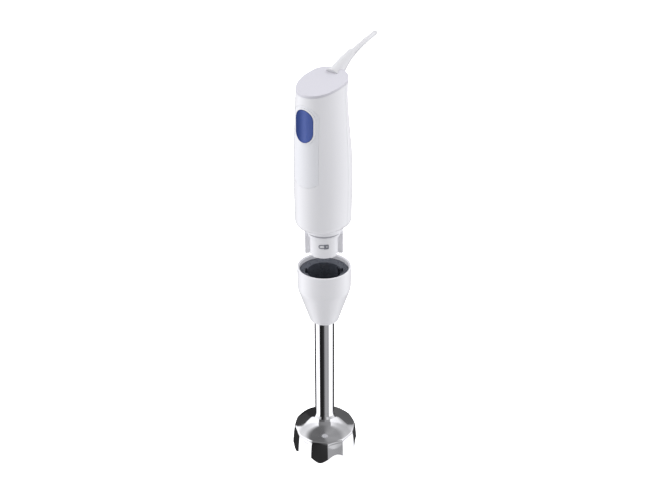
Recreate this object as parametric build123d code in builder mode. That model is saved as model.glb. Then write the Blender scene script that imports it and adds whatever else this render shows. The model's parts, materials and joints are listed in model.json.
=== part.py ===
"""Immersion blender with a detachable shaft, drawn with the motor part lifted off its cup.

Millimetres, +Z up. The origin is on the blade axis, on the plane of the bell's feet, and the
button side faces -Y. The motor part stands at its lifted height; it slides down by
release_travel and turns by bayonet_turn to lock.
"""
import os
from math import cos, pi, radians, sin, tan

from build123d import *

os.makedirs("parts", exist_ok=True)

# ---- driving dimensions ----------------------------------------------------------------------
bell_radius = 32.5            # widest radius of the blade guard
bell_wall = 0.9
bell_feet = 6
first_foot_angle = 31.0       # from the front, towards +X
arch_height = 9.5
shoulder_z = 24.0
shoulder_radius = 30.6
flare_z = 42.0                # where the guard's flare runs into the tube

tube_radius = 9.6
tube_wall = 0.8
tube_top_z = 176.0

cup_bottom_z = 152.5
cup_rim_z = 210.7
cup_radius = 25.1
cup_wall = 2.1
recess_depth = 4.7            # from the rim down to the liner's ledge
ledge_thickness = 3.4
socket_floor_z = 180.0

neck_bottom_z = 226.0
neck_radius = 13.5
pad_radius = 15.0             # raised pads between the wings, and the shoulder above them
pad_half_angle = 44.0
pad_angles = (38.0, 218.0)
collar_radius = 17.5
wing_height = 20.0
wing_half_angle = 14.0
wing_angles = (-52.0, 128.0)  # from the front, towards +X
release_travel = 44.0
bayonet_turn = 20.0
running_gap = 0.45            # between the neck and the socket

handle_bottom_z = 254.5
handle_round = 8.0
seam_y = 2.5                  # the shells part on this plane
shell_wall = 2.2
inlay_depth = 1.0
top_front_z = 384.0
top_rear_z = 396.5
cap_thickness = 2.2

spindle_radius = 2.5
bush_gap = 0.05
motor_shaft_radius = 2.5

button_z = 357.3
button_width = 18.0
button_height = 28.6
button_proud = 0.8
button_travel = 2.5

cord_radius = 2.2
hank_direction = 38.0         # the put-away cord hangs on this side of +Y, towards -X
hank_distance = 72.4

# heights along the handle: side half width, front reach and rear reach from the axis
handle_stations = (
    (handle_bottom_z, 24.6, 27.6, 22.4),
    (275.0, 24.8, 28.0, 22.6),
    (318.0, 24.8, 28.0, 22.6),
    (343.0, 23.6, 27.6, 19.4),
    (370.0, 22.0, 27.0, 15.6),
    (400.0, 21.6, 27.0, 22.6),
)
roundness = 0.60              # Bezier arm of the handle's section; 0.552 would be an ellipse


def polar(radius, angle):
    """A point at an angle from the front (-Y) towards +X."""
    return (radius * sin(radians(angle)), -radius * cos(radians(angle)))


def save(piece, name):
    piece.part.label = name
    export_step(piece.part, f"parts/{name}.step")


def ring(outer, inner, low, high):
    """A turned sleeve about the blade axis."""
    with BuildPart() as sleeve:
        with BuildSketch(Plane.XY.offset(low)):
            Circle(outer)
            Circle(inner, mode=Mode.SUBTRACT)
        extrude(amount=high - low)
    return sleeve


def sector(radius, start, end, low, high):
    """A pie slice about the blade axis, between two angles from the front towards +X."""
    steps = [start + (end - start) * i / 4 for i in range(5)]
    reach = radius / cos(radians((end - start) / 8))
    with BuildPart() as slice_:
        with BuildSketch(Plane.XY.offset(low)):
            with BuildLine():
                Polyline((0, 0), *[polar(reach, angle) for angle in steps], close=True)
            make_face()
            Circle(radius, mode=Mode.INTERSECT)
        extrude(amount=high - low)
    return slice_.part


# ---- blade guard: a thin spun bell standing on scalloped feet --------------------------------
def bell_outline(inset):
    """Half of the bell's section from the tube down to the feet, moved in by the inset."""
    with BuildLine() as outline:
        l1 = Line((tube_radius - inset, flare_z + 3), (tube_radius - inset, flare_z))
        l2 = Spline(
            l1 @ 1,
            (12.6 - inset, 35.2 - inset * 0.8),
            (shoulder_radius - 2.0 - inset, shoulder_z + 1.6 - inset),
            tangents=((0, -1), (1, -0.36)),
        )
        l3 = ThreePointArc(
            l2 @ 1,
            (shoulder_radius - 0.35 - inset, shoulder_z + 0.3 - inset * 0.7),
            (shoulder_radius + 0.3 - inset, shoulder_z - 1.6 - inset * 0.3),
        )
        l4 = Spline(
            l3 @ 1,
            (bell_radius - inset, 8.0),
            (bell_radius - 1.0 - inset, 0.0),
            tangents=(l3 % 1, (-0.25, -1)),
        )
    return outline


with BuildPart() as bell_guard:
    with BuildSketch(Plane.XZ):
        with BuildLine():
            outer = bell_outline(0).line
            inner = bell_outline(bell_wall).line
            add(outer)
            add(inner)
            Line(outer @ 0, inner @ 0)
            Line(outer @ 1, inner @ 1)
        make_face()
    revolve(axis=Axis.Z)
    arch_pitch = 360 / bell_feet
    arch_half = bell_radius * sin(radians(arch_pitch / 2)) * 0.84
    for foot in range(bell_feet):
        middle = first_foot_angle + arch_pitch * (foot + 0.5)
        outward = polar(1, middle)
        face = Plane(origin=(0, 0, 0), x_dir=(-outward[1], outward[0], 0), z_dir=(outward[0], outward[1], 0))
        with BuildSketch(face):
            with BuildLine():
                arch = Spline(
                    (-arch_half - 1.0, -1.0),
                    (0, arch_height),
                    (arch_half + 1.0, -1.0),
                    tangents=((1, 0.9), (1, -0.9)),
                )
                Line(arch @ 1, arch @ 0)
            make_face()
        extrude(amount=bell_radius + 5, mode=Mode.SUBTRACT)
save(bell_guard, "bell_guard")

# ---- shaft tube, hub and bearings ------------------------------------------------------------
hub_radius = tube_radius - tube_wall - 0.1
hub_low = 15.0
hub_high = 46.0
lower_bush_radius = 5.2
lower_bush_low = 19.0
lower_bush_high = 31.0
seal_low = 15.6

shaft_tube = ring(tube_radius, tube_radius - tube_wall, flare_z + 3, tube_top_z)
save(shaft_tube, "shaft_tube")

with BuildPart() as bearing_hub:
    with BuildSketch(Plane.XZ):
        with BuildLine():
            Polyline(
                (spindle_radius + 1.0, hub_high),
                (hub_radius, hub_high),
                (hub_radius, 38.0),
                (hub_radius - 1.0, 30.0),
                (hub_radius - 1.6, hub_low + 1.5),
                (hub_radius - 3.0, hub_low),
                (lower_bush_radius, hub_low),
                (lower_bush_radius, lower_bush_high),
                (spindle_radius + 1.0, lower_bush_high),
                close=True,
            )
        make_face()
    revolve(axis=Axis.Z)
save(bearing_hub, "bearing_hub")

lower_bush = ring(lower_bush_radius, spindle_radius + bush_gap, lower_bush_low, lower_bush_high)
save(lower_bush, "lower_bush")

shaft_seal = ring(lower_bush_radius, spindle_radius + bush_gap, seal_low, lower_bush_low)
save(shaft_seal, "shaft_seal")

upper_bush = ring(tube_radius - tube_wall, spindle_radius + bush_gap, 162.0, tube_top_z - 1)
save(upper_bush, "upper_bush")

# ---- coupling cup and its bayonet liner ------------------------------------------------------
with BuildPart() as coupling_cup:
    with BuildSketch(Plane.XZ):
        with BuildLine():
            l0 = Line((tube_radius + 0.05, cup_bottom_z), (12.0, cup_bottom_z))
            l1 = ThreePointArc(l0 @ 1, (13.3, cup_bottom_z + 0.6), (14.0, cup_bottom_z + 1.9))
            l2 = Line(l1 @ 1, (24.3, 186.0))
            Spline(l2 @ 1, (cup_radius, 191.0), tangents=(l2 % 1, (0, 1)))
            l3 = Line((cup_radius, 191.0), (cup_radius, cup_rim_z - 0.8))
            l4 = ThreePointArc(
                l3 @ 1, (cup_radius - 0.25, cup_rim_z - 0.25), (cup_radius - 0.8, cup_rim_z)
            )
            l5 = Line(l4 @ 1, (cup_radius - cup_wall + 0.9, cup_rim_z))
            l6 = Line(l5 @ 1, (cup_radius - cup_wall, cup_rim_z - 1.1))
            l7 = Line(l6 @ 1, (cup_radius - cup_wall, 190.0))
            l8 = Spline(
                l7 @ 1,
                (19.4, 176.5),
                (14.9, 163.0),
                (tube_radius + 0.05, 156.0),
                tangents=((0, -1), (-1, -0.7)),
            )
            Line(l8 @ 1, l0 @ 0)
        make_face()
    revolve(axis=Axis.Z)
save(coupling_cup, "coupling_cup")

liner_top_z = cup_rim_z - recess_depth
liner_radius = cup_radius - cup_wall - 0.05
bore_radius = pad_radius + running_gap + 0.4
wing_bore = collar_radius + running_gap
ledge_low = liner_top_z - ledge_thickness

with BuildPart() as bayonet_liner:
    with BuildSketch(Plane.XZ):
        with BuildLine():
            l1 = Polyline(
                (6.6, tube_top_z),
                (18.6, tube_top_z),
                (liner_radius - 0.3, 191.5),
                (liner_radius, 193.0),
                (liner_radius, liner_top_z),
                (wing_bore + 1.0, liner_top_z),
                (bore_radius, liner_top_z - 1.2),
                (bore_radius, socket_floor_z),
                (6.6, socket_floor_z),
                close=True,
            )
        make_face()
    revolve(axis=Axis.Z)
    for wing in wing_angles:
        entry = sector(wing_bore, wing - wing_half_angle - 1, wing + wing_half_angle + 1,
                       socket_floor_z + 1, liner_top_z + 1)
        sweep_way = sector(wing_bore, wing - wing_half_angle - 1, wing + wing_half_angle + bayonet_turn + 1.5,
                           socket_floor_z + 1, ledge_low)
        add(entry, mode=Mode.SUBTRACT)
        add(sweep_way, mode=Mode.SUBTRACT)
save(bayonet_liner, "bayonet_liner")

# ---- blade spindle with its coupler, blade and nut -------------------------------------------
coupler_top_z = 193.0
lobe_half_angle = 20.0
blade_z = 10.0
blade_reach = 20.5
blade_thick = 1.2

with BuildPart() as blade_spindle:
    with BuildSketch(Plane.XY.offset(blade_z - 3.0)):
        Circle(spindle_radius)
    extrude(amount=coupler_top_z - 3.0 - (blade_z - 3.0))
    chamfer(blade_spindle.edges().sort_by(Axis.Z)[-1], 0.5)
save(blade_spindle, "blade_spindle")

with BuildPart() as drive_coupler:
    with BuildSketch(Plane.XY.offset(tube_top_z + 1.5)):
        Circle(5.2)
    extrude(amount=5.0)
    with BuildSketch(Plane.XY.offset(tube_top_z + 6.5)):
        Circle(3.6)
    extrude(amount=coupler_top_z - tube_top_z - 6.5)
    for lobe in (0, 180):
        add(sector(5.2, lobe - lobe_half_angle, lobe + lobe_half_angle, tube_top_z + 6.5, coupler_top_z - 0.8))
    with BuildSketch(Plane.XY.offset(tube_top_z + 1.5)):
        Circle(spindle_radius)
    extrude(amount=coupler_top_z - 3.0 - tube_top_z - 1.5, mode=Mode.SUBTRACT)
save(drive_coupler, "drive_coupler")

with BuildPart() as blade:
    with BuildSketch(Plane.XY.offset(blade_z)):
        Circle(5.5)
        with PolarLocations(0, 2):
            with Locations((blade_reach / 2, 0.8)):
                RectangleRounded(blade_reach, 6.4, 1.6)
        Circle(spindle_radius, mode=Mode.SUBTRACT)
    extrude(amount=blade_thick)
    for side, tilt in ((0, 1), (180, -1)):
        bend = Plane.XY.rotated((0, 0, side)).location * Location((blade_reach - 5.0, 0.8, blade_z))
        with BuildSketch(Plane(bend).rotated((0, -tilt * 40, 0))):
            with Locations((2.6, 0)):
                RectangleRounded(7.0, 6.4, 1.6)
        extrude(amount=blade_thick)
save(blade, "blade")

with BuildPart() as blade_nut:
    with BuildSketch(Plane.XY.offset(blade_z - 3.4)):
        RegularPolygon(4.4, 6)
    extrude(amount=3.4)
    with BuildSketch(Plane.XY.offset(blade_z - 3.0)):
        Circle(spindle_radius)
    extrude(amount=3.0, mode=Mode.SUBTRACT)
    chamfer(blade_nut.faces().sort_by(Axis.Z)[0].edges(), 0.5)
save(blade_nut, "blade_nut")

blade_spacer = ring(4.6, spindle_radius, blade_z + blade_thick, seal_low - 1.0)
save(blade_spacer, "blade_spacer")

# ---- coupling neck with bayonet wings, its seal and the drive dog ----------------------------
neck_top_z = handle_bottom_z + 5.5
collar_low = neck_bottom_z + wing_height + 4.0
shoulder_low = neck_bottom_z + wing_height - 1.0
seal_z = neck_bottom_z + wing_height + 2.0
seal_section = 0.6
dog_bore = 8.8

with BuildPart() as coupling_neck:
    with BuildSketch(Plane.XZ):
        with BuildLine():
            Polyline(
                (dog_bore, neck_bottom_z),
                (neck_radius - 0.8, neck_bottom_z),
                (neck_radius, neck_bottom_z + 0.8),
                (neck_radius, shoulder_low),
                (pad_radius, shoulder_low),
                (pad_radius, seal_z - 0.85),
                (pad_radius - 0.8, seal_z - 0.85),
                (pad_radius - 0.8, seal_z + 0.85),
                (pad_radius, seal_z + 0.85),
                (pad_radius, collar_low),
                (collar_radius, collar_low),
                (collar_radius, handle_bottom_z - 0.05),
                (neck_radius, handle_bottom_z - 0.05),
                (neck_radius, handle_bottom_z + shell_wall + 0.35),
                (collar_radius - 2.0, handle_bottom_z + shell_wall + 0.35),
                (collar_radius - 2.0, neck_top_z),
                (motor_shaft_radius + 1.2, neck_top_z),
                (motor_shaft_radius + 1.2, neck_bottom_z + 21.0),
                (dog_bore, neck_bottom_z + 20.0),
                close=True,
            )
        make_face()
    revolve(axis=Axis.Z)
    blocks = [(angle, collar_radius, wing_half_angle, 0.0) for angle in wing_angles]
    blocks += [(angle, pad_radius, pad_half_angle, 0.6) for angle in pad_angles]
    for angle, radius, half_angle, lift in blocks:
        with BuildPart(mode=Mode.PRIVATE) as block:
            add(sector(radius, angle - half_angle, angle + half_angle,
                       neck_bottom_z + lift, neck_bottom_z + wing_height))
            with BuildSketch(Plane.XY.offset(neck_bottom_z)):
                Circle(neck_radius - 1.0)
            extrude(amount=wing_height, mode=Mode.SUBTRACT)
        add(block.part)
save(coupling_neck, "coupling_neck")

# a raised padlock lying on its side, on the pad that faces the user
lock_z = neck_bottom_z + 12.5
lock_height = 0.4
lock_body = 4.6

with BuildPart() as lock_symbol:
    outward = Vector(*polar(1, pad_angles[0]), 0)
    lock_face = Plane(origin=outward * (pad_radius - 1.0) + Vector(0, 0, lock_z),
                      x_dir=(-outward.Y, outward.X, 0), z_dir=outward)
    with BuildSketch(lock_face):
        with Locations((2.0, 0)):
            RectangleRounded(lock_body, lock_body, 0.8)
        with Locations((2.6, 0)):
            Circle(0.8, mode=Mode.SUBTRACT)
        with Locations((-2.0, 0)):
            SlotOverall(6.0, 3.8)
            SlotOverall(4.6, 2.4, mode=Mode.SUBTRACT)
    extrude(amount=2.5)
    add(ring(pad_radius + lock_height, pad_radius, lock_z - 5, lock_z + 5).part, mode=Mode.INTERSECT)
save(lock_symbol, "lock_symbol")

with BuildPart() as neck_seal:
    with BuildSketch(Plane.XZ):
        with Locations((pad_radius - 0.02, seal_z)):
            Circle(seal_section)
    revolve(axis=Axis.Z)
save(neck_seal, "neck_seal")

dog_low = neck_bottom_z + 3.0
dog_high = neck_bottom_z + 18.0

with BuildPart() as drive_dog:
    with BuildSketch(Plane.XY.offset(dog_low)):
        Circle(dog_bore - 0.6)
        Circle(6.2, mode=Mode.SUBTRACT)
    extrude(amount=dog_high - 3.0 - dog_low)
    with BuildSketch(Plane.XY.offset(dog_high - 3.0)):
        Circle(dog_bore - 0.6)
        Circle(motor_shaft_radius, mode=Mode.SUBTRACT)
    extrude(amount=3.0)
    for lobe in (100, 280):
        with BuildPart(mode=Mode.PRIVATE) as drive_lobe:
            add(sector(6.6, lobe - lobe_half_angle, lobe + lobe_half_angle, dog_low, dog_high - 2.9))
            with BuildSketch(Plane.XY.offset(dog_low)):
                Circle(4.1)
            extrude(amount=dog_high - dog_low, mode=Mode.SUBTRACT)
        add(drive_lobe.part)
save(drive_dog, "drive_dog")


# ---- handle shells ---------------------------------------------------------------------------
def handle_body(offset):
    """The handle's outer form moved outwards by the offset, open-ended above its slanted top."""
    with BuildPart() as body:
        for level, side, front, rear in handle_stations:
            height = level - offset if level == handle_bottom_z else level
            a = side + offset
            f = front + offset + seam_y
            r = rear + offset - seam_y
            with BuildSketch(Plane.XY.offset(height)):
                with BuildLine():
                    for sign in (1, -1):
                        Bezier(
                            (sign * a, seam_y),
                            (sign * a, seam_y - roundness * f),
                            (sign * roundness * a, seam_y - f),
                            (0, seam_y - f),
                        )
                        Bezier(
                            (sign * a, seam_y),
                            (sign * a, seam_y + roundness * r),
                            (sign * roundness * a, seam_y + r),
                            (0, seam_y + r),
                        )
                make_face()
        loft()
        fillet(body.faces().sort_by(Axis.Z)[0].edges(), handle_round + offset)
    return body.part


top_slope = (top_rear_z - top_front_z) / (28.0 + 22.0)


def above_top(depth):
    """Everything above the slanted top plane, lowered by the depth."""
    front, rear = -60.0, 60.0
    middle = (top_rear_z + top_front_z) / 2 + 3.0 * top_slope - depth
    with BuildPart() as block:
        with BuildSketch(Plane.YZ.offset(-60)):
            with BuildLine():
                Polyline(
                    (front, middle + front * top_slope),
                    (rear, middle + rear * top_slope),
                    (rear, 460),
                    (front, 460),
                    close=True,
                )
            make_face()
        extrude(amount=120)
    return block.part


def behind(y):
    """Everything on the rear side of a plane across the handle."""
    with BuildPart() as block:
        with BuildSketch(Plane.XZ.offset(-y)):
            with Locations((0, 320)):
                Rectangle(140, 260)
        extrude(amount=-100)
    return block.part


def stadium_through(width, height, level, round_bottom=True):
    """An upright rounded prism through the front of the handle, centred on a level."""
    with BuildPart() as prism:
        with BuildSketch(Plane.XZ.offset(4)):
            with Locations((0, level)):
                SlotOverall(height, width, rotation=90)
        extrude(amount=50)
    return prism.part


outer_form = handle_body(0)
floor_form = handle_body(-inlay_depth)
lip_form = handle_body(-1.35)
cavity_form = handle_body(-shell_wall)
proud_form = handle_body(button_proud)
bezel_form = handle_body(0.55)

inlay_half = 13.0
inlay_low = 301.0
inlay_high = button_z + button_height / 2 + 3.6
bezel_width = button_width + 3.4
bezel_height = button_height + 3.4


def inlay_through(gap):
    """Upright panel prism: a round top about the button's upper end and a shallow bowed foot."""
    half = inlay_half + gap
    with BuildPart() as prism:
        with BuildSketch(Plane.XZ.offset(4)):
            with BuildLine():
                l1 = Line((-half, inlay_low + 5.0), (-half, inlay_high - 9.0 + gap))
                l2 = ThreePointArc(l1 @ 1, (0, inlay_high + gap), (half, inlay_high - 9.0 + gap))
                l3 = Line(l2 @ 1, (half, inlay_low + 5.0))
                ThreePointArc(l3 @ 1, (0, inlay_low - gap), l1 @ 0)
            make_face()
        extrude(amount=50)
    return prism.part


# the boot leaves through the rear edge of the top and bows over towards the cord
boot_path = ((0.0, 13.0, 390.8), (0.0, 30.0, 399.8), (0.0, 40.0, 404.2))
boot_slopes = (28.0, 27.0, 16.0)
boot_radii = (5.3, 4.4, 3.3)


def boot_plane(step):
    """The plane across the boot at one of its three sections."""
    slope = radians(boot_slopes[step])
    return Plane(origin=boot_path[step], x_dir=(1, 0, 0), z_dir=(0, cos(slope), sin(slope)))


def boot_form(gap):
    """The boot's tapered outer form with a gap around it."""
    with BuildPart() as form:
        for step in range(3):
            with BuildSketch(boot_plane(step)):
                Circle(boot_radii[step] + gap)
        loft()
        with BuildSketch(boot_plane(0).offset(-gap)):
            Circle(boot_radii[0] + 1.6 + gap)
        extrude(amount=1.6 + 2 * gap)
    return form


strain_relief = boot_form(0)
save(strain_relief, "strain_relief")

boot_hole = boot_form(0.15)

with BuildPart() as front_shell:
    add(outer_form)
    add(cavity_form, mode=Mode.SUBTRACT)
    add(above_top(cap_thickness), mode=Mode.SUBTRACT)
    with BuildPart(mode=Mode.PRIVATE) as lip_seat:
        add(lip_form)
        add(behind(seam_y - 1.8), mode=Mode.INTERSECT)
    add(lip_seat.part, mode=Mode.SUBTRACT)
    add(behind(seam_y - 0.1), mode=Mode.SUBTRACT)
    with BuildPart(mode=Mode.PRIVATE) as inlay_seat:
        add(inlay_through(0.12))
        add(floor_form, mode=Mode.SUBTRACT)
    add(inlay_seat.part, mode=Mode.SUBTRACT)
    add(stadium_through(button_width + 0.7, button_height + 0.7, button_z), mode=Mode.SUBTRACT)
    with BuildSketch(Plane.XY.offset(handle_bottom_z - 1)):
        Circle(neck_radius + 0.05)
    extrude(amount=shell_wall + 3, mode=Mode.SUBTRACT)
save(front_shell, "front_shell")

with BuildPart() as rear_cover:
    add(outer_form)
    add(cavity_form, mode=Mode.SUBTRACT)
    add(above_top(cap_thickness), mode=Mode.SUBTRACT)
    add(behind(seam_y + 0.1), mode=Mode.INTERSECT)
    with BuildPart(mode=Mode.PRIVATE) as lip:
        add(lip_form)
        add(cavity_form, mode=Mode.SUBTRACT)
        add(behind(seam_y - 1.5), mode=Mode.INTERSECT)
        add(behind(seam_y + 0.4), mode=Mode.SUBTRACT)
        add(above_top(cap_thickness + 0.2), mode=Mode.SUBTRACT)
        with BuildSketch(Plane.XY.offset(handle_bottom_z - 2)):
            Circle(40)
        extrude(amount=handle_round + 4, mode=Mode.SUBTRACT)
    add(lip.part)
    add(boot_hole.part, mode=Mode.SUBTRACT)
    with BuildSketch(Plane.XY.offset(handle_bottom_z - 1)):
        Circle(neck_radius + 0.05)
    extrude(amount=shell_wall + 3, mode=Mode.SUBTRACT)
save(rear_cover, "rear_cover")

with BuildPart() as top_cap:
    add(outer_form)
    add(above_top(cap_thickness - 0.1), mode=Mode.INTERSECT)
    with BuildPart(mode=Mode.PRIVATE) as cap_spigot:
        add(handle_body(-shell_wall - 0.2))
        add(above_top(cap_thickness + 2.0), mode=Mode.INTERSECT)
        add(above_top(cap_thickness - 0.2), mode=Mode.SUBTRACT)
        add(handle_body(-shell_wall - 1.6), mode=Mode.SUBTRACT)
    add(cap_spigot.part)
    add(above_top(0), mode=Mode.SUBTRACT)
    add(boot_hole.part, mode=Mode.SUBTRACT)
    with BuildSketch(boot_plane(0)):
        Circle(cord_radius + 0.6)
    extrude(amount=-10, mode=Mode.SUBTRACT)
save(top_cap, "top_cap")

with BuildPart() as front_inlay:
    add(outer_form)
    add(inlay_through(0), mode=Mode.INTERSECT)
    add(handle_body(-inlay_depth + 0.05), mode=Mode.SUBTRACT)
    add(stadium_through(bezel_width + 0.1, bezel_height + 0.1, button_z), mode=Mode.SUBTRACT)
save(front_inlay, "front_inlay")

with BuildPart() as button_bezel:
    add(stadium_through(bezel_width, bezel_height, button_z))
    add(bezel_form, mode=Mode.INTERSECT)
    add(handle_body(-inlay_depth + 0.05), mode=Mode.SUBTRACT)
    add(stadium_through(button_width + 0.7, button_height + 0.7, button_z), mode=Mode.SUBTRACT)
save(button_bezel, "button_bezel")

# ---- power button and the switch behind it ---------------------------------------------------
board_y = -9.0
board_thick = 1.6
switch_depth = 6.0
stem_radius = 2.6

with BuildPart() as power_button:
    add(stadium_through(button_width, button_height, button_z))
    add(proud_form, mode=Mode.INTERSECT)
    add(handle_body(-shell_wall - 0.6), mode=Mode.SUBTRACT)
    with BuildSketch(Plane.XZ.offset(-board_y + switch_depth + button_travel + 1.4)):
        with Locations((0, button_z)):
            Circle(stem_radius + 1.4)
    extrude(amount=8.0)
save(power_button, "power_button")

with BuildPart() as circuit_board:
    with BuildSketch(Plane.XZ.offset(-board_y)):
        with Locations((0, 355)):
            RectangleRounded(23, 40, 1.5)
    extrude(amount=-board_thick)
save(circuit_board, "circuit_board")

with BuildPart() as switch_body:
    with BuildSketch(Plane.XZ.offset(-board_y)):
        with Locations((0, button_z)):
            RectangleRounded(12, 12, 1)
    extrude(amount=switch_depth)
    with BuildSketch(Plane.XZ.offset(-board_y + 1.0)):
        with Locations((0, button_z)):
            Circle(stem_radius)
    extrude(amount=switch_depth, mode=Mode.SUBTRACT)
save(switch_body, "switch_body")

with BuildPart() as switch_plunger:
    with BuildSketch(Plane.XZ.offset(-board_y + 1.3 + button_travel)):
        with Locations((0, button_z)):
            Circle(stem_radius - 0.3)
    extrude(amount=switch_depth + 0.1)
save(switch_plunger, "switch_plunger")

with BuildPart() as suppressor_capacitor:
    with BuildSketch(Plane.XY.offset(341)):
        with Locations((0, board_y + board_thick + 4.0)):
            RectangleRounded(16, 8, 1.5)
    extrude(amount=14)
save(suppressor_capacitor, "suppressor_capacitor")

# ---- motor -----------------------------------------------------------------------------------
stator_low, stator_high = 284.0, 312.0
stator_half = 16.5
stator_bore = 11.4
plate_thick = 4.0
lower_plate_z = 263.0
upper_plate_z = 331.0
coil_overhang = 4.5

with BuildPart() as stator_core:
    with BuildSketch(Plane.XY.offset(stator_low)):
        RectangleRounded(stator_half * 2, stator_half * 2, 8)
        Circle(stator_bore, mode=Mode.SUBTRACT)
        with PolarLocations(stator_bore + 0.4, 2, start_angle=90):
            Rectangle(4.4, 18, mode=Mode.SUBTRACT)
    extrude(amount=stator_high - stator_low)
save(stator_core, "stator_core")

with BuildPart() as field_coils:
    for side in (1, -1):
        with BuildSketch(Plane.XY.offset(stator_low - coil_overhang)):
            with Locations((0, side * (stator_bore + 1.6))):
                RectangleRounded(17.4, 1.8, 0.6)
        extrude(amount=stator_high - stator_low + 2 * coil_overhang)
        for level in (stator_low - coil_overhang, stator_high + 0.2):
            with BuildSketch(Plane.XY.offset(level)):
                with Locations((0, side * (stator_bore + 2.4))):
                    RectangleRounded(17.4, 4.2, 1.6)
            extrude(amount=coil_overhang - 0.2)
save(field_coils, "field_coils")


def end_bracket(plate_low, leg_low, leg_high, seat_radius):
    """A moulded end plate with a bearing seat and two legs that reach the laminations."""
    with BuildPart() as bracket:
        with BuildSketch(Plane.XY.offset(plate_low)):
            RectangleRounded(stator_half * 2, 16, 5)
            Circle(seat_radius + 2.4)
            Circle(seat_radius, mode=Mode.SUBTRACT)
        extrude(amount=plate_thick)
        with BuildSketch(Plane.XY.offset(leg_low)):
            with PolarLocations(stator_half - 1.25, 2):
                Rectangle(2.5, 9)
        extrude(amount=leg_high - leg_low)
    return bracket


bearing_radius = 6.0
motor_bottom_bracket = end_bracket(lower_plate_z, lower_plate_z, stator_low, bearing_radius)
save(motor_bottom_bracket, "motor_bottom_bracket")

motor_top_bracket = end_bracket(upper_plate_z, stator_high, upper_plate_z + plate_thick, bearing_radius)
save(motor_top_bracket, "motor_top_bracket")

bottom_bearing = ring(bearing_radius, motor_shaft_radius + bush_gap, lower_plate_z, lower_plate_z + plate_thick)
save(bottom_bearing, "bottom_bearing")

top_bearing = ring(bearing_radius, motor_shaft_radius + bush_gap, upper_plate_z, upper_plate_z + plate_thick)
save(top_bearing, "top_bearing")

with BuildPart() as motor_screws:
    with PolarLocations(stator_half - 4.8, 2):
        with Locations((0, 0, upper_plate_z + plate_thick)):
            Cylinder(2.4, 1.8, align=(Align.CENTER, Align.CENTER, Align.MIN))
save(motor_screws, "motor_screws")

# ---- armature --------------------------------------------------------------------------------
core_radius = 10.9
commutator_low = 319.0
commutator_high = 328.5
commutator_radius = 6.5
slots = 12

with BuildPart() as motor_shaft:
    with BuildSketch(Plane.XY.offset(dog_high - 3.0)):
        Circle(motor_shaft_radius)
    extrude(amount=upper_plate_z + plate_thick + 1.5 - dog_high + 3.0)
save(motor_shaft, "motor_shaft")

with BuildPart() as armature_core:
    with BuildSketch(Plane.XY.offset(stator_low)):
        Circle(core_radius)
        Circle(motor_shaft_radius, mode=Mode.SUBTRACT)
        with PolarLocations(core_radius - 2.0, slots):
            SlotOverall(5.0, 2.4, mode=Mode.SUBTRACT)
    extrude(amount=stator_high - stator_low)
save(armature_core, "armature_core")

with BuildPart() as armature_winding:
    for level in (stator_low - 4.0, stator_high):
        with BuildSketch(Plane.XY.offset(level)):
            Circle(core_radius - 1.0)
            Circle(motor_shaft_radius, mode=Mode.SUBTRACT)
        extrude(amount=4.0)
    with BuildSketch(Plane.XY.offset(stator_low)):
        with PolarLocations(core_radius - 2.4, slots):
            SlotOverall(3.6, 2.0)
    extrude(amount=stator_high - stator_low)
save(armature_winding, "armature_winding")

with BuildPart() as commutator:
    with BuildSketch(Plane.XY.offset(commutator_low)):
        Circle(commutator_radius)
        Circle(motor_shaft_radius, mode=Mode.SUBTRACT)
        with PolarLocations(commutator_radius, slots):
            Rectangle(1.6, 0.5, mode=Mode.SUBTRACT)
    extrude(amount=commutator_high - commutator_low)
save(commutator, "commutator")

with BuildPart() as cooling_fan:
    with BuildSketch(Plane.XY.offset(269.5)):
        Circle(12.0)
        Circle(motor_shaft_radius, mode=Mode.SUBTRACT)
    extrude(amount=1.2)
    with BuildSketch(Plane.XY.offset(270.7)):
        Circle(4.5)
        Circle(motor_shaft_radius, mode=Mode.SUBTRACT)
        with PolarLocations(8.0, 9):
            Rectangle(7.4, 0.9, rotation=25)
    extrude(amount=5.6)
save(cooling_fan, "cooling_fan")

# ---- brush gear ------------------------------------------------------------------------------
brush_low = 321.0
brush_height = 6.0
brush_width = 5.0
holder_start = commutator_radius + 1.2
holder_end = 16.8
brush_length = 5.5


def brush_box(width, height, start, end):
    """Two radial blocks, front and rear of the commutator."""
    with BuildPart() as blocks:
        with BuildSketch(Plane.XY.offset(brush_low + (brush_height - height) / 2)):
            for side in (1, -1):
                with Locations((0, side * (start + end) / 2)):
                    Rectangle(width, end - start)
        extrude(amount=height)
    return blocks


with BuildPart() as brush_holders:
    add(brush_box(brush_width + 2.0, brush_height + 2.0, holder_start, holder_end).part)
    add(brush_box(brush_width, brush_height, holder_start - 1, holder_end - 1.0).part, mode=Mode.SUBTRACT)
save(brush_holders, "brush_holders")

carbon_brushes = brush_box(brush_width - 0.1, brush_height - 0.1, commutator_radius + 0.35,
                           commutator_radius + 0.35 + brush_length)
save(carbon_brushes, "carbon_brushes")

with BuildPart() as brush_springs:
    spring_length = holder_end - 1.0 - commutator_radius - 0.35 - brush_length
    for side in (1, -1):
        start = side * (commutator_radius + 0.35 + brush_length)
        with BuildSketch(Plane(origin=(0, start, brush_low + brush_height / 2), z_dir=(0, side, 0))):
            Circle(2.2)
            Circle(1.5, mode=Mode.SUBTRACT)
        extrude(amount=spring_length)
save(brush_springs, "brush_springs")

# ---- cable clamp, leads and screws -----------------------------------------------------------
clamp_z = 374.0

with BuildPart() as cable_clamp:
    with BuildSketch(Plane.XY.offset(clamp_z)):
        with Locations((0, 5.0)):
            RectangleRounded(20, 7, 2)
            Circle(cord_radius, mode=Mode.SUBTRACT)
    extrude(amount=5.0)
save(cable_clamp, "cable_clamp")

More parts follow.
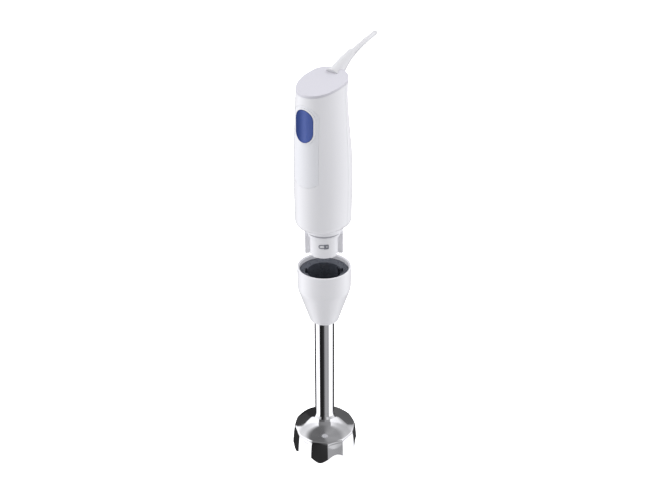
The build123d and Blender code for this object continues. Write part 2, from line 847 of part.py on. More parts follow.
with BuildPart() as clamp_screws:
    with Locations((7.2, 5.0, clamp_z + 5.0), (-7.2, 5.0, clamp_z + 5.0)):
        Cylinder(1.9, 1.6, align=(Align.CENTER, Align.CENTER, Align.MIN))
save(clamp_screws, "clamp_screws")

with BuildPart() as supply_lead:
    with BuildLine():
        FilletPolyline(boot_path[0], (0, 5.0, 386.5), (0, 5.0, 368.0), radius=4.0)
    with BuildSketch(Plane(origin=boot_path[0], z_dir=(0, -8.0, -4.3))):
        Circle(cord_radius - 0.1)
    sweep()
save(supply_lead, "supply_lead")

with BuildPart() as motor_leads:
    for side in (1, -1):
        with BuildLine():
            FilletPolyline(
                (side * 5.0, board_y + board_thick, 338.0),
                (side * 5.0, board_y + board_thick + 3.0, 338.0),
                (side * 9.0, 12.0, 338.0),
                (side * 9.0, 12.0, 317.0),
                radius=1.4,
            )
        with BuildSketch(Plane(origin=(side * 5.0, board_y + board_thick, 338.0), z_dir=(0, 1, 0))):
            Circle(0.9)
        sweep()
save(motor_leads, "motor_leads")

# ---- cord: an open stretch, a tied hank behind the handle and a flat two-pin plug ------------
hank_width = 30.0             # between the centres of a turn's two limbs
hank_length = 98.0            # between the centres of its top and bottom strands
hank_turns = 4
hank_pitch = 5.2
hank_top_z = 338.0            # centre of the top strands
hank_low_z = hank_top_z - hank_length
side_axis = Vector(cos(radians(hank_direction)), sin(radians(hank_direction)), 0)
back_axis = Vector(-sin(radians(hank_direction)), cos(radians(hank_direction)), 0)


def behind_handle(side, back, height):
    """A point given across and away from the handle on the side where the hank hangs."""
    return tuple(side_axis * side + back_axis * back + Vector(0, 0, height))


hank_half_depth = hank_turns * hank_pitch / 2
hank_start = behind_handle(hank_width / 2, hank_distance + hank_half_depth, hank_top_z - hank_width / 2)
hank_end = behind_handle(hank_width / 2, hank_distance - hank_half_depth, hank_low_z + hank_width / 2)

cord_route = (
    boot_path[2],
    (0.0, 54.5, 408.4),
    (-1.5, 70.0, 410.6),
    (-8.0, 87.0, 409.0),
    (-20.0, 100.0, 402.0),
    (-34.0, 103.5, 390.0),
    (-43.5, 98.0, 377.0),
    (-47.0, 89.0, 363.5),
    (-45.0, 81.5, 350.0),
    (-41.0, 76.5, 336.5),
    hank_start,
)
plug_top = behind_handle(6.0, hank_distance - hank_half_depth, 205.0)
lead_route = (
    hank_end,
    behind_handle(14.0, hank_distance - hank_half_depth, hank_low_z - 3.0),
    behind_handle(7.0, hank_distance - hank_half_depth, hank_low_z - 18.0),
    plug_top,
)


def corner_radii(points):
    """The largest arc at each corner that its two runs allow."""
    radii = []
    for before, here, after in zip(points, points[1:], points[2:]):
        run_in = Vector(*here) - Vector(*before)
        run_out = Vector(*after) - Vector(*here)
        turn = radians(run_in.get_angle(run_out))
        radii.append(0.45 * min(run_in.length, run_out.length) / tan(turn / 2))
    return radii


def cord_piece(points, name):
    """A round cord along straight runs and tangent arcs; prints its radii and volume check."""
    radii = corner_radii(points)
    first_run = Vector(*points[1]) - Vector(*points[0])
    with BuildPart() as piece:
        with BuildLine() as path:
            FilletPolyline(*points, radius=radii)
        with BuildSketch(Plane(origin=points[0], z_dir=first_run)):
            Circle(cord_radius)
        sweep()
    length = sum(edge.length for edge in path.line.edges())
    print(name, "radii", [round(value, 1) for value in radii])
    print(name, "volume", round(piece.part.volume, 1), "section x length",
          round(pi * cord_radius**2 * length, 1), "length", round(length, 1))
    return piece, length


cord_tube, route_length = cord_piece(cord_route, "cord_tube")
save(cord_tube, "cord_tube")

plug_lead, lead_length = cord_piece(lead_route, "plug_lead")
save(plug_lead, "plug_lead")

hank_plane = Plane(
    origin=behind_handle(0, hank_distance, (hank_top_z + hank_low_z) / 2),
    x_dir=side_axis,
    z_dir=-back_axis,
)
hank_depth = 2 * hank_half_depth + 2 * cord_radius

with BuildPart() as cord_hank:
    with BuildSketch(hank_plane.offset(-hank_depth / 2)):
        SlotOverall(hank_length + 2 * cord_radius, hank_width + 2 * cord_radius, rotation=90)
    extrude(amount=hank_depth)
save(cord_hank, "cord_hank")

tie_height = 7.0
tie_gap = 0.1
tie_thickness = 1.3

with BuildPart() as cord_tie:
    with BuildSketch(Plane(origin=behind_handle(0, hank_distance, 285.0), x_dir=side_axis, z_dir=(0, 0, 1))):
        RectangleRounded(
            hank_width + 2 * (cord_radius + tie_gap + tie_thickness),
            hank_depth + 2 * (tie_gap + tie_thickness),
            3,
        )
        Rectangle(hank_width + 2 * (cord_radius + tie_gap), hank_depth + 2 * tie_gap, mode=Mode.SUBTRACT)
    extrude(amount=tie_height)
save(cord_tie, "cord_tie")

plug_plane = Plane(origin=plug_top, x_dir=back_axis, z_dir=(0, 0, -1))
plug_length = 34.0
pin_radius = 2.0
pin_length = 19.0
pin_spacing = 18.6

with BuildPart() as plug_body:
    for depth, width, thickness, corner in (
        (0.0, 8.0, 7.0, 2.5),
        (9.0, 12.0, 8.5, 3.0),
        (21.0, 33.0, 13.0, 4.0),
        (plug_length, 35.0, 13.7, 4.0),
    ):
        with BuildSketch(plug_plane.offset(depth)):
            RectangleRounded(width, thickness, corner)
    loft(ruled=True)
save(plug_body, "plug_body")

with BuildPart() as plug_pins:
    with BuildSketch(plug_plane.offset(plug_length)):
        with Locations((pin_spacing / 2, 0), (-pin_spacing / 2, 0)):
            Circle(pin_radius)
    extrude(amount=pin_length)
save(plug_pins, "plug_pins")

turn_length = 2 * (hank_length - hank_width) + pi * hank_width
hank_strand = hank_turns * turn_length + hank_length - hank_width
print("hank strand", round(hank_strand, 1), "cord", round(route_length + hank_strand + lead_length, 1))
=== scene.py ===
"""Looks of the immersion blender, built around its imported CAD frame. Metres, +Z up, button towards -Y."""
import json
from math import cos, pi, radians, sin

import bpy
import bmesh
from mathutils import Matrix, Vector


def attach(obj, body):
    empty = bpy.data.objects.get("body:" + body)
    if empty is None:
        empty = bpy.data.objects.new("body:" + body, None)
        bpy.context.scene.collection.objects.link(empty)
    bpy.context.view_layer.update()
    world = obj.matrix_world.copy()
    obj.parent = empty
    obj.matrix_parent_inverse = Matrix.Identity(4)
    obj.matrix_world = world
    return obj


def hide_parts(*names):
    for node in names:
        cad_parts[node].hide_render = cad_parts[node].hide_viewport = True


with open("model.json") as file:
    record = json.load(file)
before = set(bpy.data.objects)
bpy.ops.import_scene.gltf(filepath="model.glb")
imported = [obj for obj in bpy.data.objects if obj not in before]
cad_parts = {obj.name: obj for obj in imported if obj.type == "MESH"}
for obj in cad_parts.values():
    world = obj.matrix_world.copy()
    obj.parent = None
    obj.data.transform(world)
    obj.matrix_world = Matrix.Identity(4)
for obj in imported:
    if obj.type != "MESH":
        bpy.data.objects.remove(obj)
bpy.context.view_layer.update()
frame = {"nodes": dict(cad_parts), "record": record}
nodes = frame["nodes"]
scene = bpy.context.scene
MM = 0.001

# ---- camera ----------------------------------------------------------------------------------
VIEW_AZIMUTH = radians(38.0)      # the camera stands this far round from the front, towards +X
VIEW_ELEVATION = radians(28.77)
VIEW_DISTANCE = 0.899
VIEW_TARGET = Vector((0.0, 0.0, 0.2344))
VIEW_ROLL = radians(-0.25)
LENS = 54.67                      # millimetres, on a sensor of SENSOR_WIDTH
SENSOR_WIDTH = 36.0
CLIP_START = 0.01

to_camera = Vector((
    sin(VIEW_AZIMUTH) * cos(VIEW_ELEVATION),
    -cos(VIEW_AZIMUTH) * cos(VIEW_ELEVATION),
    sin(VIEW_ELEVATION),
))
camera_data = bpy.data.cameras.new("camera")
camera_data.lens = LENS
camera_data.sensor_width = SENSOR_WIDTH
camera_data.clip_start = CLIP_START
camera = bpy.data.objects.new("camera", camera_data)
scene.collection.objects.link(camera)
camera.location = VIEW_TARGET + to_camera * VIEW_DISTANCE
aim = (-to_camera).to_track_quat("-Z", "Y").to_matrix() @ Matrix.Rotation(VIEW_ROLL, 3, "Z")
camera.matrix_world = Matrix.Translation(camera.location) @ aim.to_4x4()
scene.camera = camera
scene.view_settings.view_transform = "Standard"


# ---- materials -------------------------------------------------------------------------------
COAT_ROUGHNESS = 0.05
SUBSURFACE_DEPTH = 0.002
GRAIN_STRENGTH = 0.4
WEAR_SCALE = 2.5                  # uneven roughness is this much finer than the mottling


def srgb(r, g, b):
    """A display colour from 0 to 255 as linear light."""
    def linear(value):
        value /= 255
        return value / 12.92 if value <= 0.04045 else ((value + 0.055) / 1.055) ** 2.4
    return (linear(r), linear(g), linear(b), 1.0)


def add_node(tree, kind, **inputs):
    """A shader node with values set on its named inputs."""
    node = tree.nodes.new(kind)
    for key, value in inputs.items():
        node.inputs[key.replace("_", " ")].default_value = value
    return node


def noise(tree, coordinates, scale, detail=2.0, stretch=(1, 1, 1)):
    """A noise texture in object space, in features per metre, with an optional stretch."""
    mapping = tree.nodes.new("ShaderNodeMapping")
    mapping.inputs["Scale"].default_value = stretch
    tree.links.new(coordinates, mapping.inputs["Vector"])
    texture = add_node(tree, "ShaderNodeTexNoise", Scale=scale, Detail=detail)
    tree.links.new(mapping.outputs["Vector"], texture.inputs["Vector"])
    return texture.outputs["Fac"]


def ramp(tree, factor, low, high):
    """Maps a factor onto a range of values."""
    node = tree.nodes.new("ShaderNodeMapRange")
    node.inputs["To Min"].default_value = low
    node.inputs["To Max"].default_value = high
    tree.links.new(factor, node.inputs["Value"])
    return node.outputs["Result"]


def material(name, colour, roughness, metallic=0.0, grain=0.0, grain_scale=2000.0, stretch=(1, 1, 1),
             mottle=0.0, mottle_scale=60.0, rough_range=0.0, coat=0.0, subsurface=0.0, specular=0.5):
    """A principled material with grain as bump, mottled colour and uneven roughness."""
    mat = bpy.data.materials.new(name)
    mat.use_nodes = True
    tree = mat.node_tree
    shader = tree.nodes["Principled BSDF"]
    shader.inputs["Base Color"].default_value = colour
    shader.inputs["Metallic"].default_value = metallic
    shader.inputs["Roughness"].default_value = roughness
    shader.inputs["Specular IOR Level"].default_value = specular
    shader.inputs["Coat Weight"].default_value = coat
    shader.inputs["Coat Roughness"].default_value = COAT_ROUGHNESS
    if subsurface:
        shader.inputs["Subsurface Weight"].default_value = subsurface
        shader.inputs["Subsurface Scale"].default_value = SUBSURFACE_DEPTH
    coordinates = tree.nodes.new("ShaderNodeTexCoord").outputs["Object"]
    if mottle:
        factor = noise(tree, coordinates, mottle_scale, 3.0)
        mix = tree.nodes.new("ShaderNodeMix")
        mix.data_type = "RGBA"
        mix.inputs["A"].default_value = tuple(c * (1 - mottle) for c in colour[:3]) + (1.0,)
        mix.inputs["B"].default_value = tuple(min(1.0, c * (1 + mottle)) for c in colour[:3]) + (1.0,)
        tree.links.new(factor, mix.inputs["Factor"])
        tree.links.new(mix.outputs["Result"], shader.inputs["Base Color"])
    if rough_range:
        factor = noise(tree, coordinates, mottle_scale * WEAR_SCALE, 4.0, stretch)
        tree.links.new(ramp(tree, factor, roughness - rough_range, roughness + rough_range),
                       shader.inputs["Roughness"])
    if grain:
        factor = noise(tree, coordinates, grain_scale, 2.0, stretch)
        bump = add_node(tree, "ShaderNodeBump", Strength=GRAIN_STRENGTH, Distance=grain)
        tree.links.new(factor, bump.inputs["Height"])
        tree.links.new(bump.outputs["Normal"], shader.inputs["Normal"])
    return mat


WHITE = srgb(238, 238, 241)
materials = {
    "white_gloss": material("white_gloss", WHITE, 0.22, mottle=0.006, rough_range=0.03,
                            grain=0.00002, grain_scale=300, specular=0.25),
    "inlay_white": material("inlay_white", srgb(235, 236, 240), 0.42, grain=0.00003, grain_scale=5000,
                            mottle=0.008, rough_range=0.05),
    "cap_grey": material("cap_grey", srgb(214, 213, 220), 0.38, grain=0.00003, grain_scale=4000,
                         mottle=0.01, rough_range=0.05),
    "button_blue": material("button_blue", srgb(52, 80, 158), 0.36, grain=0.00003, grain_scale=5000,
                            mottle=0.04, mottle_scale=200, rough_range=0.05),
    "polished_steel": material("polished_steel", (0.86, 0.86, 0.88, 1), 0.07, 1.0, grain=0.000004,
                               grain_scale=900, stretch=(1, 1, 0.05), rough_range=0.02, mottle=0.01),
    "liner_grey": material("liner_grey", srgb(82, 86, 95), 0.28, grain=0.00002, grain_scale=3000,
                           mottle=0.05, rough_range=0.05),
    "hub_grey": material("hub_grey", srgb(120, 122, 128), 0.45, grain=0.00003, mottle=0.04, rough_range=0.05),
    "bronze": material("bronze", (0.42, 0.26, 0.12, 1), 0.35, 1.0, grain=0.00002, grain_scale=4000,
                       mottle=0.1, rough_range=0.08),
    "seal_rubber": material("seal_rubber", (0.012, 0.012, 0.013, 1), 0.55, grain=0.00002, mottle=0.1,
                            rough_range=0.05),
    "blade_steel": material("blade_steel", (0.62, 0.62, 0.64, 1), 0.24, 1.0, grain=0.00001, grain_scale=1500,
                            stretch=(0.05, 1, 1), mottle=0.03, rough_range=0.06),
    "shaft_steel": material("shaft_steel", (0.55, 0.55, 0.57, 1), 0.28, 1.0, grain=0.00001, grain_scale=1500,
                            stretch=(0.1, 0.1, 1), mottle=0.03, rough_range=0.06),
    "coupler_nylon": material("coupler_nylon", srgb(196, 196, 190), 0.4, grain=0.00002, mottle=0.03,
                              rough_range=0.05, subsurface=0.1),
    "lamination": material("lamination", (0.28, 0.29, 0.31, 1), 0.45, 1.0, grain=0.00006, grain_scale=900,
                           stretch=(0.02, 0.02, 1), mottle=0.08, rough_range=0.08),
    "copper": material("copper", (0.55, 0.20, 0.07, 1), 0.32, 0.9, grain=0.00012, grain_scale=800,
                       stretch=(0.1, 1, 0.1), mottle=0.12, rough_range=0.08),
    "commutator_copper": material("commutator_copper", (0.60, 0.32, 0.18, 1), 0.3, 1.0, grain=0.00002,
                                  mottle=0.06, rough_range=0.08),
    "carbon": material("carbon", (0.02, 0.02, 0.02, 1), 0.5, grain=0.00003, mottle=0.2, rough_range=0.08),
    "holder_brass": material("holder_brass", (0.62, 0.46, 0.17, 1), 0.3, 1.0, grain=0.00001, mottle=0.05,
                             rough_range=0.08),
    "spring_steel": material("spring_steel", (0.55, 0.55, 0.57, 1), 0.3, 1.0, grain=0.0001, grain_scale=700,
                             stretch=(0.1, 1, 0.1), mottle=0.05, rough_range=0.05),
    "fan_plastic": material("fan_plastic", (0.02, 0.02, 0.022, 1), 0.45, grain=0.00003, mottle=0.1,
                            rough_range=0.05),
    "bracket_plastic": material("bracket_plastic", (0.035, 0.035, 0.038, 1), 0.5, grain=0.00004, mottle=0.12,
                                rough_range=0.06),
    "board": material("board", (0.01, 0.11, 0.04, 1), 0.35, grain=0.00002, mottle=0.15, rough_range=0.08,
                      coat=0.4),
    "switch_black": material("switch_black", (0.015, 0.015, 0.016, 1), 0.4, grain=0.00003, mottle=0.1,
                             rough_range=0.05),
    "capacitor_yellow": material("capacitor_yellow", (0.55, 0.38, 0.05, 1), 0.35, grain=0.00002, mottle=0.05,
                                 rough_range=0.05),
    "lead_insulation": material("lead_insulation", (0.30, 0.02, 0.015, 1), 0.4, grain=0.00002, mottle=0.05,
                                rough_range=0.05),
    "cord_white": material("cord_white", srgb(226, 226, 228), 0.38, grain=0.00004, grain_scale=2500,
                           mottle=0.012, rough_range=0.05),
    "tie_white": material("tie_white", srgb(214, 214, 216), 0.42, grain=0.00004, grain_scale=2500,
                          mottle=0.02, rough_range=0.05),
    "pin_metal": material("pin_metal", (0.70, 0.68, 0.62, 1), 0.2, 1.0, grain=0.000005, grain_scale=1500,
                          mottle=0.02, rough_range=0.05),
    "silicone_grey": material("silicone_grey", srgb(176, 176, 182), 0.5, grain=0.00002, mottle=0.03,
                              rough_range=0.05),
    # painted shade: the padlock is the plate's own plastic, and this grey stands for the shadow its raised
    # outline casts
    "padlock_painted_shade_grey": material("padlock_painted_shade_grey", srgb(128, 130, 138), 0.45, grain=0.00002, mottle=0.05,
                           rough_range=0.05),
}

DISH_HALF_WIDTH = 0.009
DISH_DEPTH = 0.0055               # how far the dish seems to rise at its half width


def dish_button():
    """Shades the button's face as a dish, lowest along its upright middle; the mesh stays the CAD's."""
    tree = materials["button_blue"].node_tree
    place = tree.nodes.new("ShaderNodeSeparateXYZ")
    tree.links.new(tree.nodes.new("ShaderNodeTexCoord").outputs["Object"], place.inputs[0])

    def calculated(operation, value, number=None):
        node = tree.nodes.new("ShaderNodeMath")
        node.operation = operation
        tree.links.new(value, node.inputs[0])
        if number is not None:
            node.inputs[1].default_value = number
        return node.outputs[0]

    across = calculated("ABSOLUTE", place.outputs["X"])
    height = calculated("MULTIPLY", calculated("POWER", across, 2.0), DISH_DEPTH / DISH_HALF_WIDTH ** 2)
    dish = add_node(tree, "ShaderNodeBump", Strength=1.0, Distance=1.0)
    tree.links.new(height, dish.inputs["Height"])
    grain_bump = tree.nodes["Principled BSDF"].inputs["Normal"].links[0].from_node
    tree.links.new(dish.outputs["Normal"], grain_bump.inputs["Normal"])


dish_button()

# the neck's seal is pale silicone, whatever its slot says; the padlock, raised in the plate's own plastic, is
# painted grey whatever its slot says: painted shade standing for the shadow round its relief
FINISHES_AND_PAINTED_SHADE = {"neck_seal": "silicone_grey", "lock_symbol": "padlock_painted_shade_grey"}
slot_of_node = {part["node"]: part["material_slot"] for part in frame["record"]["subparts"]}
for name, obj in nodes.items():
    obj.data.materials.clear()
    obj.data.materials.append(materials[FINISHES_AND_PAINTED_SHADE.get(name, slot_of_node[name])])


# ---- cord: the same route as the CAD tubes, with the hank's turns between them -----------------
CORD_DIAMETER = 0.0044
HANK_DIRECTION = radians(38.0)
HANK_DISTANCE = 0.0724
HANK_WIDTH = 0.030
HANK_LENGTH = 0.098
HANK_TURNS = 4
HANK_PITCH = 0.0052
HANK_TOP = 0.338
HANK_LOW = HANK_TOP - HANK_LENGTH
POINTS_PER_LOOP = 5
LOOP_SPREAD = 1.03                # a spline cuts its corners, so the points stand out a little
LIMB_STEPS = (0.25, 0.5, 0.75)
PLUG_ENTRY = 0.205                # height at which the lead ends, inside the plug
side_axis = Vector((cos(HANK_DIRECTION), sin(HANK_DIRECTION), 0))
back_axis = Vector((-sin(HANK_DIRECTION), cos(HANK_DIRECTION), 0))


def behind_handle(side, back, height):
    """A place given across and behind the handle, in the hank's own directions."""
    return side_axis * side + back_axis * back + Vector((0, 0, height))


def hank_points():
    """Control points down the right limb, round the foot, up the left limb and over the top."""
    half = HANK_WIDTH / 2
    low, high = HANK_LOW + half, HANK_TOP - half
    turn = []
    for step in LIMB_STEPS:
        turn.append((half, high + (low - high) * step))
    for step in range(POINTS_PER_LOOP):
        angle = -pi * step / (POINTS_PER_LOOP - 1)
        turn.append((half * cos(angle) * LOOP_SPREAD, low + half * sin(angle) * LOOP_SPREAD))
    for step in LIMB_STEPS:
        turn.append((-half, low + (high - low) * step))
    for step in range(POINTS_PER_LOOP):
        angle = pi - pi * step / (POINTS_PER_LOOP - 1)
        turn.append((half * cos(angle) * LOOP_SPREAD, high + half * sin(angle) * LOOP_SPREAD))
    total = HANK_TURNS * len(turn)
    points = []
    for index in range(total):
        side, height = turn[index % len(turn)]
        back = HANK_DISTANCE + HANK_PITCH * HANK_TURNS * (0.5 - (index + 1) / total)
        points.append(behind_handle(side, back, height))
    return points


hank_front = HANK_DISTANCE - HANK_PITCH * HANK_TURNS / 2
route = [Vector(point) * MM for point in (
    (0.0, 40.0, 404.2),
    (0.0, 54.5, 408.4),
    (-1.5, 70.0, 410.6),
    (-8.0, 87.0, 409.0),
    (-20.0, 100.0, 402.0),
    (-34.0, 103.5, 390.0),
    (-43.5, 98.0, 377.0),
    (-47.0, 89.0, 363.5),
    (-45.0, 81.5, 350.0),
    (-41.0, 76.5, 336.5),
)]
route.append(behind_handle(HANK_WIDTH / 2, HANK_DISTANCE + HANK_PITCH * HANK_TURNS / 2,
                           HANK_TOP - HANK_WIDTH / 2))
route += hank_points()
route += [
    behind_handle(HANK_WIDTH / 2, hank_front, HANK_LOW + HANK_LENGTH * 0.5),
    behind_handle(HANK_WIDTH / 2, hank_front, HANK_LOW + HANK_WIDTH / 2),
    behind_handle(0.014, hank_front, HANK_LOW - 0.003),
    behind_handle(0.007, hank_front, HANK_LOW - 0.018),
    behind_handle(0.006, hank_front, PLUG_ENTRY),
]

cord_curve = bpy.data.curves.new("power_cord", "CURVE")
cord_curve.dimensions = "3D"
cord_curve.bevel_depth = CORD_DIAMETER / 2
cord_curve.bevel_resolution = 5
cord_curve.resolution_u = 6
cord_curve.use_fill_caps = True
spline = cord_curve.splines.new("NURBS")
spline.points.add(len(route) - 1)
for point, place in zip(spline.points, route):
    point.co = (*place, 1.0)
spline.order_u = 3
spline.use_endpoint_u = True
power_cord = bpy.data.objects.new("power_cord", cord_curve)
scene.collection.objects.link(power_cord)
power_cord.data.materials.append(materials["cord_white"])
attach(power_cord, "motor_part")
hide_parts("cord_tube", "cord_hank", "plug_lead")

# ---- blade guard: the spun bell with its soft facets, one over each foot and arch ---------------
# it stands for the CAD's plain bell, whose feet are 2.5 degrees further round; its lengths are in millimetres
BELL_FEET = 6
FIRST_FOOT = radians(28.5)        # from the front, towards +X
FACET = 2 * pi / (2 * BELL_FEET)
FACET_DEPTH = 0.75                # share of a true flat
FACET_TOP = 27.0                  # facets start to fade in here, on the shoulder
FACET_FADE = 5.0
ARCH_HEIGHT = 9.5
ARCH_SHAPE = 0.85                 # below 1 the arch is fuller than a sine squared
ARCH_FADE = 22.0                  # height at which nothing of the scalloped edge is left
TURN_STEPS = 384
PROFILE_PIECES = 4
BELL_WALL = 0.9
CONE_FOOT = 24.0                  # above this the wall is a cone, so its inside is also lowered
CONE_DROP = 0.85                  # share of the wall by which it is lowered
NECK_FADE = 8.0                   # the lowering fades out over this much of the neck
BELL_PROFILE = (                  # radius and height of the outer skin
    (9.6, 44.9), (9.62, 42.0), (9.9, 39.6), (10.8, 37.2), (12.4, 35.2), (14.8, 33.0), (18.0, 30.9),
    (21.5, 29.1), (25.0, 27.5), (28.2, 25.9), (29.6, 25.1), (30.4, 24.2), (30.9, 22.9), (31.15, 20.5),
    (31.45, 17.0), (31.75, 13.0), (32.0, 9.0), (32.25, 5.0), (32.4, 2.0), (32.48, 0.0),
)
BELL_TOP = BELL_PROFILE[0][1]
SPLIT_ANGLE = radians(50)


def catmull_rom(before, here, after, beyond, t):
    """A number on the smooth curve from here (t = 0) to after (t = 1)."""
    return 0.5 * (2 * here + (after - before) * t + (2 * before - 5 * here + 4 * after - beyond) * t * t
                  + (3 * here - before - 3 * after + beyond) * t ** 3)


def smooth_profile(points, pieces):
    """Catmull-Rom points along a profile."""
    out = []
    for index in range(len(points) - 1):
        before = points[max(index - 1, 0)]
        here, after = points[index], points[index + 1]
        beyond = points[min(index + 2, len(points) - 1)]
        for piece in range(pieces):
            spans = zip(before, here, after, beyond)
            out.append(tuple(catmull_rom(*span, piece / pieces) for span in spans))
    out.append(points[-1])
    return out


def facet_scale(angle, height):
    """How far a flattened facet draws the wall in, fading out across the shoulder."""
    offset = (angle - FIRST_FOOT + FACET / 2) % FACET - FACET / 2
    fade = min(1.0, max(0.0, (FACET_TOP - height) / FACET_FADE))
    fade = fade * fade * (3 - 2 * fade)
    return 1 + (1 / cos(offset) + cos(FACET / 2) - 2) * FACET_DEPTH * fade


def foot_height(angle):
    """Height of the scalloped lower edge at an angle from the front."""
    pitch = 2 * FACET
    place = ((angle - FIRST_FOOT) % pitch) / pitch
    rise = sin(pi * place) ** 2
    return ARCH_HEIGHT * rise ** ARCH_SHAPE


def bell_mesh():
    """The wall's section, down the outer skin and back up the inner one, carried round the axis."""
    outer = smooth_profile(BELL_PROFILE, PROFILE_PIECES)
    build = bmesh.new()
    rows = []
    for step in range(TURN_STEPS):
        angle = 2 * pi * step / TURN_STEPS
        low = foot_height(angle)
        columns = []
        for inset, profile in ((0.0, outer), (BELL_WALL, outer[::-1])):
            for radius, height in profile:
                lift = low * max(0.0, 1 - height / ARCH_FADE)
                drop = 0.0
                if height > CONE_FOOT:
                    drop = inset * CONE_DROP * min(1.0, (BELL_TOP - height) / NECK_FADE)
                reach = (radius - inset) * facet_scale(angle, height) * MM
                level = (height + lift - drop) * MM
                columns.append(build.verts.new((reach * sin(angle), -reach * cos(angle), level)))
        rows.append(columns)
    count = len(rows[0])
    for step in range(TURN_STEPS):
        here, after = rows[step], rows[(step + 1) % TURN_STEPS]
        for index in range(count):
            following = (index + 1) % count
            build.faces.new((here[index], here[following], after[following], after[index]))
    bmesh.ops.recalc_face_normals(build, faces=build.faces)
    mesh = bpy.data.meshes.new("blade_guard")
    build.to_mesh(mesh)
    build.free()
    return mesh


blade_guard = bpy.data.objects.new("blade_guard", bell_mesh())
scene.collection.objects.link(blade_guard)
for polygon in blade_guard.data.polygons:
    polygon.use_smooth = True
edge_split = blade_guard.modifiers.new("edges", "EDGE_SPLIT")
edge_split.split_angle = SPLIT_ANGLE
blade_guard.data.materials.append(materials["polished_steel"])
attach(blade_guard, "blending_shaft")
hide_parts("bell_guard")

# ---- studio: a white floor, and a surround that lights each kind of ray in its own way ----------
FLOOR_HALF_WIDTH = 6.0
floor_mesh = bpy.data.meshes.new("floor")
floor_build = bmesh.new()
bmesh.ops.create_grid(floor_build, x_segments=2, y_segments=2, size=FLOOR_HALF_WIDTH)
floor_build.to_mesh(floor_mesh)
floor_build.free()
floor = bpy.data.objects.new("floor", floor_mesh)
scene.collection.objects.link(floor)
floor_material = bpy.data.materials.new("floor_white")
floor_material.use_nodes = True
floor_shader = floor_material.node_tree.nodes["Principled BSDF"]
floor_shader.inputs["Base Color"].default_value = (0.9, 0.9, 0.9, 1)
floor_shader.inputs["Roughness"].default_value = 0.9
floor_shader.inputs["Emission Color"].default_value = (1, 1, 1, 1)
floor_shader.inputs["Emission Strength"].default_value = 1.0
floor_mesh.materials.append(floor_material)
floor.visible_glossy = False
floor.visible_diffuse = False


# The surround isn't an even studio light: its panels were tuned until the steel's reflections and the
# plastic's shading came close to the photograph's, so they suit the photograph's side of the object best.
# A panel is (degrees round from the camera's side, positive to the picture's right; grey level). A height is
# the upward part of a ray's direction, from -1 to 1.
# What mirrored rays see, ring by ring from the floor up: the heights where the ring starts to take over and
# where it has, and its panels.
RINGS = (
    (None, None, (
        (-180, 0.03), (-117, 0.03), (-114, 1.5), (-61, 1.5), (-57, 0.03), (-30, 0.012), (-4, 0.05),
        (1, 0.30), (20, 0.40), (50, 0.34), (54, 1.3), (112, 1.3), (116, 0.05), (180, 0.05),
    )),
    (-0.474, -0.455, (
        (-180, 0.03), (-117, 0.03), (-112, 1.2), (-68, 1.0), (-48, 0.55), (-32, 0.02), (-18, 0.006),
        (-12, 0.07), (5, 0.2), (24, 0.72), (37, 0.68), (42, 0.52), (60, 0.55), (88, 0.8), (110, 0.9),
        (116, 0.12), (180, 0.12),
    )),
    (0.02, 0.12, (
        (-180, 0.05), (-139, 0.06), (-136, 1.2), (-62, 1.3), (-56, 0.10), (-4, 0.12),
        (1, 0.30), (50, 0.34), (56, 1.2), (125, 1.0), (139, 0.5), (142, 0.13), (180, 0.10),
    )),
    (0.50, 0.66, (
        (-180, 0.4), (-150, 0.65), (-62, 1.2), (-56, 0.20), (0, 0.26), (56, 0.30), (60, 1.0),
        (110, 0.6), (150, 0.45), (180, 0.4),
    )),
    (0.76, 0.90, ((-180, 0.20), (-90, 0.14), (-20, 0.16), (40, 0.30), (90, 0.36), (180, 0.20))),
)
# what diffuse rays see: dim on the camera's side, bright at the sides and behind
SOFT_RISE = (-0.2, 0.5)
SOFT_LOW = ((-180, 1.2), (-75, 1.75), (-40, 0.90), (4, 0.34), (42, 0.50), (75, 1.75), (180, 1.3))
SOFT_HIGH = ((-180, 1.2), (-75, 1.75), (-40, 0.90), (4, 0.46), (42, 0.62), (75, 1.75), (180, 1.3))
PANEL_BLUE = 1.02                 # the panels are this much bluer than grey


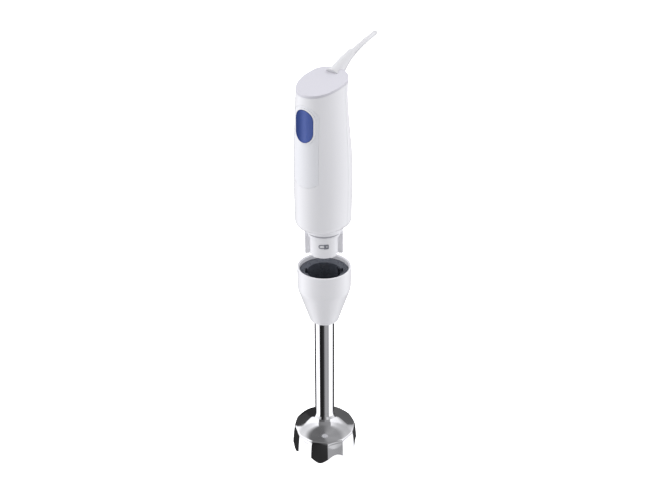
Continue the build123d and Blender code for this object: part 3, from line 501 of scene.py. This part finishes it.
def studio_world():
    """White to the camera, RINGS to mirrored rays, and the soft surround to diffuse rays."""
    world = bpy.data.worlds.new("studio")
    world.use_nodes = True
    tree = world.node_tree
    tree.nodes.clear()
    link = tree.links.new
    direction = tree.nodes.new("ShaderNodeTexCoord").outputs["Generated"]

    def along(axis):
        """The part of the ray's direction that lies along an axis."""
        dot = tree.nodes.new("ShaderNodeVectorMath")
        dot.operation = "DOT_PRODUCT"
        dot.inputs[1].default_value = axis
        link(direction, dot.inputs[0])
        return dot.outputs["Value"]

    ahead = (sin(VIEW_AZIMUTH), -cos(VIEW_AZIMUTH), 0)
    right = (cos(VIEW_AZIMUTH), sin(VIEW_AZIMUTH), 0)
    angle = tree.nodes.new("ShaderNodeMath")
    angle.operation = "ARCTAN2"
    link(along(right), angle.inputs[0])
    link(along(ahead), angle.inputs[1])
    turn = tree.nodes.new("ShaderNodeMapRange")
    turn.inputs["From Min"].default_value = -pi
    turn.inputs["From Max"].default_value = pi
    link(angle.outputs[0], turn.inputs["Value"])

    def panels(stops):
        """A colour ramp round the compass."""
        node = tree.nodes.new("ShaderNodeValToRGB")
        elements = node.color_ramp.elements
        while len(elements) > 1:
            elements.remove(elements[-1])
        for index, (degrees, level) in enumerate(stops):
            place = (degrees + 180) / 360
            element = elements[0] if index == 0 else elements.new(place)
            element.position = place
            element.color = (level, level, level * PANEL_BLUE, 1)
        link(turn.outputs["Result"], node.inputs["Fac"])
        return node.outputs["Color"]

    height = along((0, 0, 1))

    def step_up(start, end):
        """Rises smoothly from 0 to 1 between two heights."""
        factor = tree.nodes.new("ShaderNodeMapRange")
        factor.interpolation_type = "SMOOTHSTEP"
        factor.inputs["From Min"].default_value = start
        factor.inputs["From Max"].default_value = end
        link(height, factor.inputs["Value"])
        return factor.outputs["Result"]

    def mixed(factor, lower, upper):
        mix = tree.nodes.new("ShaderNodeMix")
        mix.data_type = "RGBA"
        link(factor, mix.inputs["Factor"])
        link(lower, mix.inputs["A"])
        link(upper, mix.inputs["B"])
        return mix.outputs["Result"]

    rays = tree.nodes.new("ShaderNodeLightPath")
    mirrored = panels(RINGS[0][2])
    for start, end, stops in RINGS[1:]:
        mirrored = mixed(step_up(start, end), mirrored, panels(stops))
    soft = mixed(step_up(*SOFT_RISE), panels(SOFT_LOW), panels(SOFT_HIGH))
    light = mixed(rays.outputs["Is Diffuse Ray"], mirrored, soft)
    surround = tree.nodes.new("ShaderNodeBackground")
    link(light, surround.inputs["Color"])
    backdrop = tree.nodes.new("ShaderNodeBackground")
    backdrop.inputs["Color"].default_value = (1, 1, 1, 1)
    choose = tree.nodes.new("ShaderNodeMixShader")
    link(rays.outputs["Is Camera Ray"], choose.inputs["Fac"])
    link(surround.outputs[0], choose.inputs[1])
    link(backdrop.outputs[0], choose.inputs[2])
    output = tree.nodes.new("ShaderNodeOutputWorld")
    link(choose.outputs[0], output.inputs["Surface"])
    return world


scene.world = studio_world()
